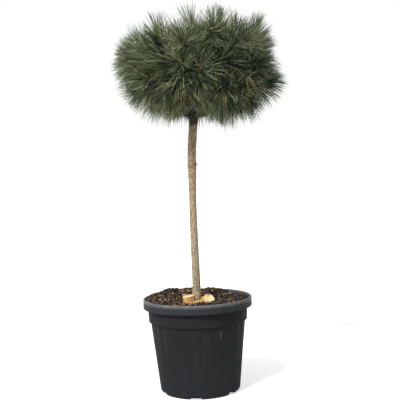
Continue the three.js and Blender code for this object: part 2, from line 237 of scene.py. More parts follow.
def from_front(radius, angle):
    """Sideways place and depth at a radius, turned from the front towards the right."""
    return radius * math.sin(angle), -radius * math.cos(angle)


def bezier(a, b, c, d, count):
    t = np.linspace(0, 1, count)[:, None]
    return (1 - t) ** 3 * a + 3 * (1 - t) ** 2 * t * b + 3 * (1 - t) * t**2 * c + t**3 * d


def grid_quads(rings, sides):
    """The faces between rings of vertices that follow each other, with as many sides in each."""
    ring, around = np.meshgrid(np.arange(rings - 1), np.arange(sides), indexing="ij")
    here, there = ring * sides + around, ring * sides + (around + 1) % sides
    return np.stack([here, there, there + sides, here + sides], -1).reshape(-1, 4)


def sweep(path, radii, sides, relief=None):
    """A closed tube along a path. relief(points, angles) gives how far each vertex stands proud."""
    path = np.asarray(path, float)
    count = len(path)
    tangents = unit(np.gradient(path, axis=0))
    side = across(tangents[0])[0]
    rings = []
    angles = turns(sides)
    for k in range(count):
        side = unit(side - tangents[k] * np.dot(side, tangents[k]))
        ways = spokes(side, np.cross(tangents[k], side), angles)
        reach = np.full(sides, radii[k])
        if relief is not None:
            reach = reach + relief(path[k] + ways * radii[k], angles)
        rings.append(path[k] + ways * reach[:, None])
    vertices = np.concatenate(rings + [path[:1], path[-1:]])
    quads = grid_quads(count, sides)
    k = np.arange(sides)
    start, end = count * sides, count * sides + 1
    last = (count - 1) * sides
    caps = np.concatenate([
        np.stack([(k + 1) % sides, k, np.full(sides, start)], 1),
        np.stack([last + k, last + (k + 1) % sides, np.full(sides, end)], 1),
    ])
    return vertices, quads, caps


def fractal(point, octaves):
    return noise.fractal(Vector(point), 1.0, 2.0, octaves)


def node_arrays(*names):
    """The vertices and triangles of CAD nodes, joined, with each triangle's node number."""
    vertices, triangles, owner, count = [], [], [], 0
    for number, name in enumerate(names):
        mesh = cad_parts[name].data
        mesh.calc_loop_triangles()
        co = np.zeros(len(mesh.vertices) * 3, np.float32)
        mesh.vertices.foreach_get("co", co)
        tri = np.zeros(len(mesh.loop_triangles) * 3, np.int32)
        mesh.loop_triangles.foreach_get("vertices", tri)
        vertices.append(co.reshape(-1, 3).astype(float))
        triangles.append(tri.reshape(-1, 3) + count)
        owner += [number] * len(triangles[-1])
        count += len(vertices[-1])
    return np.concatenate(vertices), np.concatenate(triangles), owner


def tree_of(*names):
    vertices, triangles, _ = node_arrays(*names)
    return BVHTree.FromPolygons(vertices.tolist(), triangles.tolist())


# ------------------------------------------------------------------ material nodes


class Tree:
    """A node tree, with short calls for the nodes that are added to it."""

    def __init__(self, owner):
        owner.use_nodes = True
        self.nodes = owner.node_tree.nodes
        self.links = owner.node_tree.links

    def feed(self, socket, value):
        """Joins a socket to another node's output, or sets it to a colour or a number."""
        if isinstance(value, bpy.types.NodeSocket):
            self.links.new(value, socket)
        else:
            socket.default_value = (*value, 1) if socket.type == "RGBA" else value

    def node(self, kind, output, inputs=None, **settings):
        """Adds a node and returns one of its outputs."""
        node = self.nodes.new("ShaderNode" + kind)
        for key, value in settings.items():
            setattr(node, key, value)
        for key, value in (inputs or {}).items():
            self.feed(node.inputs[key], value)
        return node.outputs[output]

    def span(self, value, low, high, to_low=0.0, to_high=1.0):
        inputs = {"Value": value, "From Min": low, "From Max": high, "To Min": to_low, "To Max": to_high}
        return self.node("MapRange", "Result", inputs)

    def times(self, a, b):
        return self.node("Math", "Value", {0: a, 1: b}, operation="MULTIPLY")

    def plus(self, a, b):
        return self.node("Math", "Value", {0: a, 1: b}, operation="ADD")


class Paint(Tree):
    """A procedural material: a Principled surface and short calls for the patterns that feed it."""

    def __init__(self, name, colour, roughness, specular=0.5):
        self.material = bpy.data.materials.new(name)
        super().__init__(self.material)
        self.surface = self.nodes["Principled BSDF"].inputs
        self.feed(self.surface["Base Color"], colour)
        self.feed(self.surface["Roughness"], roughness)
        self.feed(self.surface["Specular IOR Level"], specular)
        self.place = self.node("TexCoord", "Object")

    def stretched(self, x, y, z):
        return self.node("Mapping", "Vector", {"Vector": self.place, "Scale": (x, y, z)})

    def noise(self, scale, detail=4, rough=0.55, place=None, distortion=0):
        inputs = {"Vector": place or self.place, "Scale": scale, "Detail": detail, "Roughness": rough}
        return self.node("TexNoise", "Fac", {**inputs, "Distortion": distortion})

    def cells(self, scale, place=None):
        return self.node("TexVoronoi", "Distance", {"Vector": place or self.place, "Scale": scale})

    def axis(self, name):
        return self.node("SeparateXYZ", name, {"Vector": self.place})

    def height(self):
        return self.axis("Z")

    def window(self, value, middle, half):
        """One at a middle value, falling to nothing at half a width to either side."""
        up = self.span(value, middle - half, middle)
        down = self.span(value, middle, middle + half, 1, 0)
        return self.times(up, down)

    def ramp(self, value, *stops):
        node = self.nodes.new("ShaderNodeValToRGB")
        band = node.color_ramp.elements
        while len(band) < len(stops):
            band.new(0.5)
        for element, (at, colour) in zip(band, stops):
            element.position = at
            element.color = (*colour, 1)
        self.feed(node.inputs["Fac"], value)
        return node.outputs["Color"]

    def mix(self, share, a, b):
        """Goes from one colour to another. The colour sockets are found by their place in the node."""
        factor, first, second, result = 0, 6, 7, 2
        return self.node("Mix", result, {factor: share, first: a, second: b}, data_type="RGBA")

    def colour(self, value):
        self.feed(self.surface["Base Color"], value)

    def rough(self, value):
        self.feed(self.surface["Roughness"], value)

    def bump(self, value, strength, distance):
        inputs = {"Height": value, "Strength": strength, "Distance": distance}
        if self.surface["Normal"].links:
            inputs["Normal"] = self.surface["Normal"].links[0].from_socket
        self.feed(self.surface["Normal"], self.node("Bump", "Normal", inputs))


def pot_plastic():
    """Dull black plastic: dusty here and there, a little paler on the lip, worn and with a painted highlight
    along its top edge, and a painted sheen on one rib.
    """
    paint = Paint("pot_plastic", (0.008, 0.0083, 0.0095), 0.5, 0.15)
    cloud = paint.noise(5, 4, 0.55)
    base = paint.ramp(cloud, (0.3, (0.0080, 0.0084, 0.0100)), (0.7, (0.0130, 0.0136, 0.0160)))
    streak = paint.noise(22, 4, 0.6, paint.stretched(1, 1, 0.05))
    dusty = paint.mix(paint.span(streak, 0.55, 0.85, 0, 0.3), base, (0.032, 0.032, 0.031))
    lip = paint.span(paint.height(), POT_TOP - LIP_DEPTH - 1 * MM, POT_TOP - LIP_DEPTH + 2 * MM, 0, 0.12)
    lighter = paint.mix(lip, dusty, (0.085, 0.09, 0.10))
    # A paler band along the lip's top edge: partly wear, partly a painted highlight line.
    edge = paint.span(paint.height(), POT_TOP - 14 * MM, POT_TOP - 3 * MM, 0, 0.9)
    wear_and_highlight = paint.times(edge, paint.span(paint.noise(50, 6, 0.7), 0.40, 0.66, 0.45, 0.85))
    worn_and_highlit = paint.mix(wear_and_highlight, lighter, (0.16, 0.165, 0.165))
    scuff = paint.span(paint.noise(110, 3, 0.5, paint.stretched(1, 1, 0.22), 1.5), 0.68, 0.74, 0, 0.2)
    scuffed = paint.mix(scuff, worn_and_highlit, (0.09, 0.09, 0.09))
    # A painted sheen: a narrow paler strip down one flute's ridge on the front, under the step.
    across_painted_sheen = paint.window(paint.axis("X"), 80.5 * MM, 3.5 * MM)
    painted_sheen = paint.times(across_painted_sheen, paint.window(paint.height(), 228 * MM, 26 * MM))
    front = paint.span(paint.axis("Y"), -120 * MM, -100 * MM, 1, 0)
    paint.colour(paint.mix(paint.times(paint.times(painted_sheen, front), 0.6), scuffed, (0.10, 0.10, 0.10)))
    gloss = paint.span(paint.height(), POT_TOP - LIP_DEPTH, POT_TOP - 4 * MM, 0, -0.36)
    paint.rough(paint.plus(paint.span(paint.noise(38, 5, 0.65), 0.3, 0.7, 0.6, 0.74), gloss))
    paint.bump(paint.noise(300, 3, 0.6), 0.12, 0.4 * MM)
    paint.bump(paint.noise(14, 2, 0.5, paint.stretched(1, 1, 0.2)), 0.25, 2 * MM)
    return paint.material


def potting_mix():
    paint = Paint("potting_mix", (0.06, 0.04, 0.028), 0.95, 0.2)
    patch = paint.noise(46, 6, 0.75)
    base = paint.ramp(
        patch, (0.36, (0.007, 0.005, 0.004)), (0.5, (0.036, 0.023, 0.016)), (0.66, (0.13, 0.085, 0.055))
    )
    fleck = paint.span(paint.cells(300), 0.0, 0.2, 0.8, 0)
    chosen = paint.times(fleck, paint.span(paint.noise(60, 2), 0.54, 0.64))
    paint.colour(paint.mix(chosen, base, (0.22, 0.14, 0.08)))
    paint.bump(paint.noise(200, 6, 0.75), 1.0, 0.003)
    return paint.material


def stem_bark():
    """Pale grey-tan speckled bark, browner up the stem, near black at the graft with painted shade from the
    crown, and painted shade at its foot.
    """
    paint = Paint("stem_bark", (0.42, 0.34, 0.24), 0.85, 0.3)
    long = paint.stretched(1, 1, 0.55)
    mottle = paint.noise(240, 6, 0.78, long)
    pale = paint.ramp(
        mottle, (0.36, (0.075, 0.054, 0.034)), (0.47, (0.225, 0.176, 0.112)), (0.62, (0.44, 0.36, 0.24))
    )
    brown = paint.ramp(
        mottle, (0.36, (0.055, 0.034, 0.020)), (0.48, (0.215, 0.152, 0.092)), (0.62, (0.48, 0.36, 0.23))
    )
    black = paint.ramp(mottle, (0.3, (0.014, 0.013, 0.010)), (0.7, (0.055, 0.048, 0.038)))
    wander = paint.span(paint.noise(24, 3), 0.3, 0.7, -0.035, 0.035)
    level = paint.plus(paint.height(), wander)
    lower = paint.mix(paint.span(level, 0.52, 0.80), pale, brown)
    # Near black at the top: the graft's dark bark, deepened with painted shade under the crown.
    whole = paint.mix(paint.span(level, 0.955, 0.985), lower, black)
    speck = paint.span(paint.cells(360, paint.stretched(1, 1, 0.7)), 0.08, 0.26, 0.85, 0)
    some = paint.times(speck, paint.span(paint.noise(60, 3), 0.36, 0.5))
    specked = paint.mix(some, whole, (0.09, 0.062, 0.04))
    uneven = paint.plus(paint.height(), paint.span(paint.noise(80, 2), 0, 1, -0.006, 0.006))
    scar = paint.span(uneven, SCAR_LEVEL - 11 * MM, SCAR_LEVEL + 11 * MM, -1, 1)
    ring = paint.span(paint.times(scar, scar), 0.0, 1.0, 0.38, 0)
    scarred = paint.mix(ring, specked, (0.10, 0.065, 0.04))
    # Darker just above the soil: painted shade where the stem meets the soil.
    foot = paint.span(paint.height(), 0.327, 0.350, 0.75, 0)
    paint.colour(paint.mix(foot, scarred, (0.07, 0.05, 0.035)))
    paint.bump(paint.noise(520, 5, 0.7, long), 0.6, 0.0012)
    return paint.material


def limb_bark():
    """Scaly bark: grey-black on the boughs near the stem, brown on the twigs further out."""
    paint = Paint("limb_bark", (0.12, 0.09, 0.065), 0.85, 0.3)
    scale = paint.cells(210, paint.stretched(1, 1, 0.6))
    brown = paint.ramp(scale, (0.05, (0.030, 0.022, 0.015)), (0.35, (0.095, 0.068, 0.046)),
                       (0.75, (0.18, 0.135, 0.092)))
    black = paint.ramp(scale, (0.05, (0.012, 0.011, 0.009)), (0.5, (0.034, 0.029, 0.023)),
                       (0.8, (0.060, 0.052, 0.040)))
    paint.colour(paint.mix(paint.span(paint.height(), 1.04, 1.12), black, brown))
    paint.bump(scale, 0.7, 0.0015)
    return paint.material


def sawn_face():
    """Pale sawn wood with faint rings and saw marks."""
    paint = Paint("sawn_face", (0.72, 0.58, 0.34), 0.8, 0.25)
    blotch = paint.noise(55, 4, 0.6)
    pale = paint.ramp(
        blotch, (0.32, (0.42, 0.25, 0.08)), (0.42, (0.66, 0.51, 0.27)), (0.56, (0.80, 0.68, 0.43))
    )
    grain = paint.noise(420, 4, 0.7, paint.stretched(1, 0.3, 1), 0.6)
    paint.colour(paint.mix(paint.span(grain, 0.5, 0.72, 0, 0.45), pale, (0.48, 0.31, 0.13)))
    paint.bump(grain, 0.5, 0.0015)
    return paint.material


def stub_side():
    """Orange-brown streaked sides where the bark has peeled."""
    paint = Paint("stub_side", (0.5, 0.3, 0.12), 0.85, 0.25)
    streak = paint.noise(120, 6, 0.8, paint.stretched(1, 1, 0.35), 1.2)
    paint.colour(paint.ramp(streak, (0.36, (0.07, 0.030, 0.012)), (0.45, (0.34, 0.15, 0.045)),
                            (0.53, (0.56, 0.32, 0.105)), (0.64, (0.74, 0.55, 0.26))))
    paint.bump(streak, 0.8, 0.003)
    return paint.material


def chip_wood(name, dark, light):
    paint = Paint(name, light, 0.9, 0.2)
    paint.colour(paint.ramp(paint.noise(160, 4, 0.65), (0.35, dark), (0.65, light)))
    paint.bump(paint.noise(500, 4), 0.5, 0.001)
    return paint.material


# ------------------------------------------------------------------ camera, light and floor

CAMERA_PLACE = (0.0425, -3.002, 0.8404)
CAMERA_PITCH_DOWN = math.radians(2.66)
CAMERA_TURN_LEFT = math.radians(0.377)
CAMERA_ROLL = math.radians(2.10)
CAMERA_LENS = 73.75  # mm
SENSOR_WIDTH = 36  # mm

SOFT_LIGHT = (0.22, 0.84)  # of the room, on the side away from the soft light and on its side
SOFT_SIDE = (-0.35, -0.62, 0.70)
WHITE_BACKGROUND = 1.0
KEY_DIRECTION = (0.48, 0.74, -0.80)
KEY_STRENGTH = 4.2
KEY_SIZE = math.radians(15)
FLOOR_RADIUS = 40
FLOOR_SIDES = 96
FLOOR_DROP = 0.4 * MM
FLOOR_SHADE = (0.62, 0.66)
FLOOR_GLOW = 0.55  # lightens the floor, so that its shadows stay faint


def make_camera():
    data = bpy.data.cameras.new("camera")
    data.sensor_width = SENSOR_WIDTH
    data.lens = CAMERA_LENS
    camera = add_object("camera", data)
    turn = Matrix.Rotation(CAMERA_TURN_LEFT, 4, "Z")
    pitch = Matrix.Rotation(math.pi / 2 - CAMERA_PITCH_DOWN, 4, "X")
    roll = Matrix.Rotation(-CAMERA_ROLL, 4, "Z")
    camera.matrix_world = Matrix.Translation(CAMERA_PLACE) @ turn @ pitch @ roll
    bpy.context.scene.camera = camera


def make_key():
    """A sun with soft edges."""
    data = bpy.data.lights.new("key", "SUN")
    data.energy = KEY_STRENGTH
    data.angle = KEY_SIZE
    lamp = add_object("key", data)
    lamp.rotation_mode = "QUATERNION"
    lamp.rotation_quaternion = Vector(KEY_DIRECTION).to_track_quat("-Z", "Y")


def make_room():
    """Soft light, stronger from one side, and a white background behind the plant."""
    world = bpy.data.worlds.new("studio")
    bpy.context.scene.world = world
    tree = Tree(world)
    way = tree.node("TexCoord", "Generated")
    side = Vector(SOFT_SIDE).normalized()
    facing = tree.node("VectorMath", "Value", {0: way, 1: side}, operation="DOT_PRODUCT")
    soft = tree.span(facing, -1, 1, *SOFT_LIGHT)
    seen = tree.node("LightPath", "Is Camera Ray")
    back = tree.nodes["Background"].inputs
    tree.feed(back["Color"], (1.0, 1.0, 1.0))
    tree.feed(back["Strength"], tree.span(seen, 0, 1, soft, WHITE_BACKGROUND))
    bpy.context.scene.view_settings.view_transform = "Standard"


def make_floor():
    angles = turns(FLOOR_SIDES)
    ring = np.stack([np.cos(angles), np.sin(angles), 0 * angles], 1) * FLOOR_RADIUS
    floor = mesh_object("floor", ring, [np.arange(FLOOR_SIDES)[None]], smooth=False)
    low, high = ((shade,) * 3 for shade in FLOOR_SHADE)
    paint = Paint("floor", high, 0.9, 0.1)
    paint.colour(paint.ramp(paint.noise(6, 3), (0.3, low), (0.7, high)))
    seen = paint.node("LightPath", "Is Camera Ray")
    paint.feed(paint.surface["Emission Color"], (1, 1, 1))
    paint.feed(paint.surface["Emission Strength"], paint.span(seen, 0, 1, 0, FLOOR_GLOW))
    floor.data.materials.append(paint.material)
    floor.location.z = -FLOOR_DROP


# ------------------------------------------------------------------ pot


def arc(centre, radius, start, end, count):
    angles = np.radians(np.linspace(start, end, count))
    return [(centre[0] + radius * math.cos(a), centre[1] + radius * math.sin(a)) for a in angles]


def cone_radius(height):
    share = (height - FOOT_HEIGHT) / (STEP_HEIGHT - FOOT_HEIGHT)
    return FOOT_RADIUS + (STEP_RADIUS - FOOT_RADIUS) * share


def pot_profile():
    """Radius and height, from the middle of the underside up the outside and down the inside."""
    under_lip = POT_TOP - LIP_DEPTH
    body = [(cone_radius(z), z) for z in np.linspace(FOOT_HEIGHT, STEP_HEIGHT, 26)]
    return (
        [(0, 0), (60 * MM, 0), (110 * MM, 0), (NOTCH_INNER - 1 * MM, 0), (NOTCH_INNER, 0), (BASE_RADIUS, 0)]
        + arc((BASE_RADIUS - 1 * MM, 14 * MM), 14 * MM, -80, -8, 6)
        + body
        + [(STEP_RADIUS + 0.4 * MM, STEP_HEIGHT + 0.6 * MM)]
        + [(BAND_FOOT_RADIUS - 0.6 * MM, STEP_HEIGHT + 2.5 * MM)]
        + [(BAND_FOOT_RADIUS, STEP_HEIGHT + 4.5 * MM), (BAND_FOOT_RADIUS, BAND_FOOT_HEIGHT)]
        + [(BAND_FOOT_RADIUS + (BAND_TOP_RADIUS - BAND_FOOT_RADIUS) * s, BAND_FOOT_HEIGHT + 43 * MM * s)
           for s in (0.3, 0.6, 0.9, 1.0)]
        + [(BAND_TOP_RADIUS + 1.5 * MM, under_lip - 0.4 * MM), (LIP_RADIUS - 3 * MM, under_lip)]
        + arc((LIP_RADIUS - 2.6 * MM, under_lip + 2.6 * MM), 2.6 * MM, -70, 0, 4)
        + [(LIP_RADIUS - 0.2 * MM, under_lip + 14 * MM)]
        + arc((LIP_RADIUS - 4.6 * MM, POT_TOP - 4.6 * MM), 4.6 * MM, 0, 150, 9)
        + [(MOUTH_RADIUS - 1 * MM, POT_TOP - 8 * MM), (MOUTH_RADIUS - 2 * MM, under_lip + 19 * MM)]
        + [(BAND_TOP_RADIUS - POT_WALL, under_lip - 1 * MM), (BAND_FOOT_RADIUS - POT_WALL, BAND_FOOT_HEIGHT)]
        + [(STEP_RADIUS - POT_WALL - FLUTE_DEPTH, STEP_HEIGHT), (FOOT_RADIUS - POT_WALL - 1 * MM, POT_FLOOR)]
        + [(70 * MM, POT_FLOOR), (0, POT_FLOOR)]
    )


def make_pot():
    profile = np.array(pot_profile())
    outside = np.arange(len(profile)) < np.argmax(profile[:, 1])
    radius, angle = np.meshgrid(profile[:, 0], turns(POT_SEGMENTS), indexing="ij")
    height = np.repeat(profile[:, 1:2], POT_SEGMENTS, 1)
    fluted = outside[:, None] & (height > FOOT_HEIGHT) & (height <= STEP_HEIGHT + 1 * MM)
    fade = np.clip((height - FLUTE_START) / (STEP_HEIGHT - FLUTE_START), 0, 1) ** 1.4
    furrow = (0.5 - 0.5 * np.cos(FLUTES * angle)) ** 0.55
    radius = radius - np.where(fluted, FLUTE_DEPTH * fade * furrow, 0)
    for k in range(NOTCHES):
        middle = NOTCH_FIRST + k * 2 * math.pi / NOTCHES
        off = np.abs((angle - middle + math.pi) % (2 * math.pi) - math.pi) * FOOT_RADIUS
        inside = np.clip((NOTCH_HALF_WIDTH + 1.5 * MM - off) / (3 * MM), 0, 1)
        foot = outside[:, None] & (radius > NOTCH_INNER - 0.5 * MM) & (height < NOTCH_HEIGHT)
        height = np.where(foot, height + (NOTCH_HEIGHT - height) * inside, height)
    wobble = 0.5 * MM * np.sin(3 * angle + 0.7) + 0.35 * MM * np.sin(5 * angle + 2.1)
    swell = np.where((radius > 100 * MM) & (height > FLUTE_START), wobble * height / POT_TOP, 0)
    radius = radius + np.where(outside[:, None] & (height < POT_TOP - LIP_DEPTH), swell, 0)
    x, y = radius * np.sin(angle), -radius * np.cos(angle)
    vertices = np.stack([x, y, height], -1).reshape(-1, 3)
    piece = mesh_object("pot_shell", vertices, [grid_quads(len(profile), POT_SEGMENTS)])
    weld_and_drop(piece)
    cut_drains(piece)
    piece.data.set_sharp_from_angle(angle=math.radians(38))
    return finish_piece(piece, [pot_plastic()], ["pot"])


def cut_drains(piece):
    """Cuts round holes through the pot's floor, midway between the notches."""
    rods = Pile()
    for k in range(NOTCHES):
        x, y = from_front(DRAIN_CIRCLE, NOTCH_FIRST + (k + 0.5) * 2 * math.pi / NOTCHES)
        path = [(x, y, -POT_FLOOR), (x, y, POT_FLOOR / 2), (x, y, 2 * POT_FLOOR)]
        rods.add(*sweep(path, [DRAIN_RADIUS] * 3, 24))
    tool = rods.piece("drain_rods")
    cut = piece.modifiers.new("drains", "BOOLEAN")
    cut.operation = "DIFFERENCE"
    cut.object = tool
    cut.solver = "EXACT"
    apply_modifiers(piece)
    bpy.data.objects.remove(tool)


def weld_and_drop(piece):
    """Merges doubled vertices and drops the empty faces that they leave."""
    shape = bmesh.new()
    shape.from_mesh(piece.data)
    bmesh.ops.remove_doubles(shape, verts=shape.verts, dist=1e-6)
    bmesh.ops.dissolve_degenerate(shape, dist=1e-7, edges=shape.edges)
    bmesh.ops.recalc_face_normals(shape, faces=shape.faces)
    shape.to_mesh(piece.data)
    shape.free()


# ------------------------------------------------------------------ soil, chips and stubs

SOIL_RINGS = 74
SOIL_SEGMENTS = 210
SOIL_EDGE = MOUTH_RADIUS - 4.5 * MM
SOIL_FOOT = POT_FLOOR + 0.5 * MM
SOIL_LEVEL = 325 * MM
PROBE_REACH = 182 * MM  # the packed soil is measured no further out than this
PROBE_FROM = 0.6  # above the soil, where the rays that measure it start
STEM_FOOT = 22 * MM
DOWN = Vector((0, 0, -1))


def soil_height(tree, x, y):
    """The packed soil's surface, roughened with lumps and crumbs."""
    shrink = min(1, PROBE_REACH / max(math.hypot(x, y), 1e-6))
    hit = tree.ray_cast(Vector((x * shrink, y * shrink, PROBE_FROM)), DOWN)[0]
    level = hit.z if hit else SOIL_LEVEL
    far = min(1, max(0, (math.hypot(x, y) - STEM_FOOT) / (30 * MM)))
    lumps = 5.5 * MM * fractal((x * 34, y * 34, 1.3), 3)
    crumbs = 3.4 * MM * abs(fractal((x * 120, y * 120, 4.1), 3))
    return level + far * lumps + crumbs - 1 * MM


def make_soil():
    tree = tree_of("soil")
    radii = SOIL_EDGE * (np.arange(1, SOIL_RINGS + 1) / SOIL_RINGS)
    spots = [[from_front(r, a) for a in turns(SOIL_SEGMENTS)] for r in radii]
    top = [[(x, y, soil_height(tree, x, y)) for x, y in ring] for ring in spots]
    wall = [
        (SOIL_EDGE - 8 * MM, 306 * MM), (BAND_FOOT_RADIUS - POT_WALL - 2 * MM, BAND_FOOT_HEIGHT - 2 * MM),
        (STEP_RADIUS - POT_WALL - FLUTE_DEPTH - 1 * MM, STEP_HEIGHT - 7 * MM),
        (FOOT_RADIUS - POT_WALL - 3 * MM, SOIL_FOOT),
    ]
    below = [[(*from_front(r, a), z) for a in turns(SOIL_SEGMENTS)] for r, z in wall]
    centre = [(0, 0, soil_height(tree, 0, 0)), (0, 0, SOIL_FOOT)]
    rows = np.array(top + below)
    vertices = np.concatenate([rows.reshape(-1, 3), centre])
    count = len(rows)
    quads = grid_quads(count, SOIL_SEGMENTS)[:, [0, 3, 2, 1]]
    k = np.arange(SOIL_SEGMENTS)
    last = (count - 1) * SOIL_SEGMENTS
    hub = count * SOIL_SEGMENTS
    fans = np.concatenate([
        np.stack([k, (k + 1) % SOIL_SEGMENTS, np.full(SOIL_SEGMENTS, hub)], 1),
        np.stack([last + (k + 1) % SOIL_SEGMENTS, last + k, np.full(SOIL_SEGMENTS, hub + 1)], 1),
    ])
    piece = mesh_object("soil_body", vertices, [quads, fans])
    finish_piece(piece, [potting_mix()], ["soil"])
    return BVHTree.FromPolygons(vertices.tolist(), quads.tolist() + fans.tolist())


ICO = (1 + math.sqrt(5)) / 2
ICO_POINTS = unit(np.array([
    (-1, ICO, 0), (1, ICO, 0), (-1, -ICO, 0), (1, -ICO, 0), (0, -1, ICO), (0, 1, ICO),
    (0, -1, -ICO), (0, 1, -ICO), (ICO, 0, -1), (ICO, 0, 1), (-ICO, 0, -1), (-ICO, 0, 1)]))
ICO_FACES = np.array([
    (0, 11, 5), (0, 5, 1), (0, 1, 7), (0, 7, 10), (0, 10, 11), (1, 5, 9), (5, 11, 4), (11, 10, 2),
    (10, 7, 6), (7, 1, 8), (3, 9, 4), (3, 4, 2), (3, 2, 6), (3, 6, 8), (3, 8, 9), (4, 9, 5),
    (2, 4, 11), (6, 2, 10), (8, 6, 7), (9, 8, 1)])


def lump(place, size, squash, turn):
    """An uneven crumb or chip: a twenty-sided stone, stretched and turned."""
    shape = ICO_POINTS * rng.uniform(0.75, 1.2, (12, 1)) * np.array(squash) * size
    spin = np.array(turn.to_matrix())
    return shape @ spin.T + place


def random_turn(flatness):
    """A turn about the vertical, with a tilt that is small for flat-lying pieces."""
    tilt = rng.normal(0, flatness)
    return (Matrix.Rotation(rng.uniform(0, 2 * math.pi), 3, "Z") @ Matrix.Rotation(tilt, 3, "X")
            @ Matrix.Rotation(rng.normal(0, flatness), 3, "Y")).to_quaternion()


def on_soil(tree, reach=181 * MM):
    """A random place on the soil, outside the stem's foot."""
    while True:
        radius, angle = reach * math.sqrt(rng.random()), rng.uniform(0, 2 * math.pi)
        if radius > STEM_FOOT + 2 * MM:
            return np.array(tree.ray_cast(Vector((*from_front(radius, angle), PROBE_FROM)), DOWN)[0])


LITTER = [  # name, count, smallest and largest half length in mm, proportions, leaning, colours
    ("soil_clods", 120, 6, 12, (1, 0.85, 0.7), 1.2, (0.006, 0.004, 0.003), (0.040, 0.026, 0.018)),
    ("soil_crumbs_dark", 1700, 2.0, 6.5, (1, 0.85, 0.7), 1.2, (0.006, 0.004, 0.003), (0.032, 0.021, 0.015)),
    ("soil_crumbs_brown", 620, 1.6, 5.5, (1, 0.8, 0.65), 1.2, (0.045, 0.029, 0.020), (0.15, 0.105, 0.075)),
    ("bark_chips", 130, 4.5, 12, (1, 0.6, 0.24), 0.6, (0.065, 0.032, 0.018), (0.20, 0.125, 0.080)),
    ("pale_chips", 170, 2.0, 7.0, (1, 0.6, 0.3), 0.6, (0.30, 0.20, 0.11), (0.60, 0.46, 0.30)),
]


def make_litter(tree):
    """Crumbs and chips on the soil. Bark chips lie mostly on the left."""
    for name, count, low, high, squash, leaning, dark, light in LITTER:
        pile = Pile()
        for _ in range(count):
            place = on_soil(tree)
            if name == "bark_chips" and place[0] > -40 * MM and rng.random() < 0.7:
                place = on_soil(tree)
            size = rng.uniform(low, high) * MM * (0.7 + 0.5 * rng.random())
            stone = lump(place + UP * size * 0.15, size, squash, random_turn(leaning))
            pile.add(stone, triangles=ICO_FACES)
        piece = pile.piece(name, smooth=False)
        finish_piece(piece, [chip_wood(name, dark, light)], ["soil"])


def fibre(pile, place, length, radius, rise):
    heading = unit(np.array([rng.normal(), rng.normal(), rise * abs(rng.normal())]))
    bend = np.array([rng.normal(), rng.normal(), 0.6 * rng.random()]) * length * 0.25
    start, end = place - heading * length / 2, place + heading * length / 2
    path = bezier(start, start * 0.6 + end * 0.4 + bend, start * 0.3 + end * 0.7 + bend, end, 9)
    pile.add(*sweep(path, np.linspace(radius, radius * 0.5, 9), 5))


def make_fibres(tree):
    """Pale roots and straws lying across the soil, and yellow shreds round the stem's foot."""
    straws = Pile()
    for _ in range(90):
        place = on_soil(tree, 170 * MM) + UP * 1.5 * MM
        fibre(straws, place, rng.uniform(14, 46) * MM, rng.uniform(0.4, 0.9) * MM, 0.3)
    paint = chip_wood("pale_fibres", (0.36, 0.24, 0.12), (0.66, 0.52, 0.34))
    finish_piece(straws.piece("pale_fibres"), [paint], ["soil"])
    shreds = Pile()
    for _ in range(170):
        place = np.array([rng.normal(7, 14), rng.uniform(-50, -18), rng.uniform(328, 334)]) * MM
        fibre(shreds, place, rng.uniform(6, 16) * MM, rng.uniform(0.8, 1.8) * MM, 0.5)
    for _ in range(26):
        place = np.array([rng.uniform(-54, -16), rng.uniform(-20, 2), 352]) * MM
        fibre(shreds, place, rng.uniform(6, 15) * MM, rng.uniform(0.6, 1.2) * MM, 1.6)
    paint = chip_wood("yellow_shreds", (0.36, 0.18, 0.05), (0.74, 0.54, 0.24))
    finish_piece(shreds.piece("yellow_shreds"), [paint], ["soil"])


def cut_direction(name):
    """The way a stub's sawn face looks: the upward-facing direction with the most flat area."""
    vertices, triangles, _ = node_arrays(name)
    a, b, c = (vertices[triangles[:, k]] for k in range(3))
    area = np.cross(b - a, c - a)
    size = np.linalg.norm(area, axis=1)
    facing = area / np.maximum(size[:, None], 1e-12)
    totals = [(size[facing @ way > 0.999].sum(), k) for k, way in enumerate(facing) if way[2] > 0.2]
    return facing[max(totals)[1]]


def make_stub(name, face, side):
    """A sawn stub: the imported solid, remeshed fine, with a torn, fibrous side and a nearly flat cut."""
    piece = add_object(name + "_wood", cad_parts[name].data.copy())
    piece.data.materials.clear()
    remesh = piece.modifiers.new("fine", "REMESH")
    remesh.mode = "VOXEL"
    remesh.voxel_size = 1.1 * MM
    apply_modifiers(piece)
    fine = piece.data
    look = cut_direction(name)
    for vertex in fine.vertices:
        point, normal = np.array(vertex.co), np.array(vertex.normal)
        on_cut = float(np.dot(normal, look)) > 0.8
        streak = fractal(point * 130 + look * (np.dot(point, look) * -90), 4)
        push = (0.9 if on_cut else 3.2) * MM * streak
        vertex.co = Vector(point + normal * push)
    fine.update()
    for material in (face, side):
        fine.materials.append(material)
    for polygon in fine.polygons:
        polygon.use_smooth = True
        polygon.material_index = 0 if np.dot(np.array(polygon.normal), look) > 0.72 else 1
    return finish_piece(piece, [], [name])


# ------------------------------------------------------------------ stem and boughs

SAME_LEVEL = 0.06 * MM
RING_LEAST = 4 * MM  # vertices nearer the stem's middle than this are its end caps'


def stem_rings():
    """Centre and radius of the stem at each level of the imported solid."""
    vertices, _, _ = node_arrays("trunk")
    levels = np.unique(np.round(vertices[:, 2], 4))
    rings = []
    for z in levels:
        ring = vertices[np.abs(vertices[:, 2] - z) < SAME_LEVEL]
        spread = np.linalg.norm(ring[:, :2] - ring[:, :2].mean(0), axis=1)
        rings.append((z, ring[:, 0].mean(), ring[:, 1].mean(), spread[spread > RING_LEAST].mean()))
    return np.array(rings)


def bark_relief(points, angles):
    """Long shallow plates and pits of young bark. The angles aren't needed: sweep gives them to all."""
    out = np.empty(len(points))
    for k, point in enumerate(points):
        x, y, z = point
        plate = noise.fractal(Vector((x * 150, y * 150, z * 42)), 1.0, 2.1, 4)
        pit = noise.noise(Vector((x * 420, y * 420, z * 170)))
        out[k] = 0.55 * MM * plate - 0.35 * MM * max(0.0, pit)
    return out


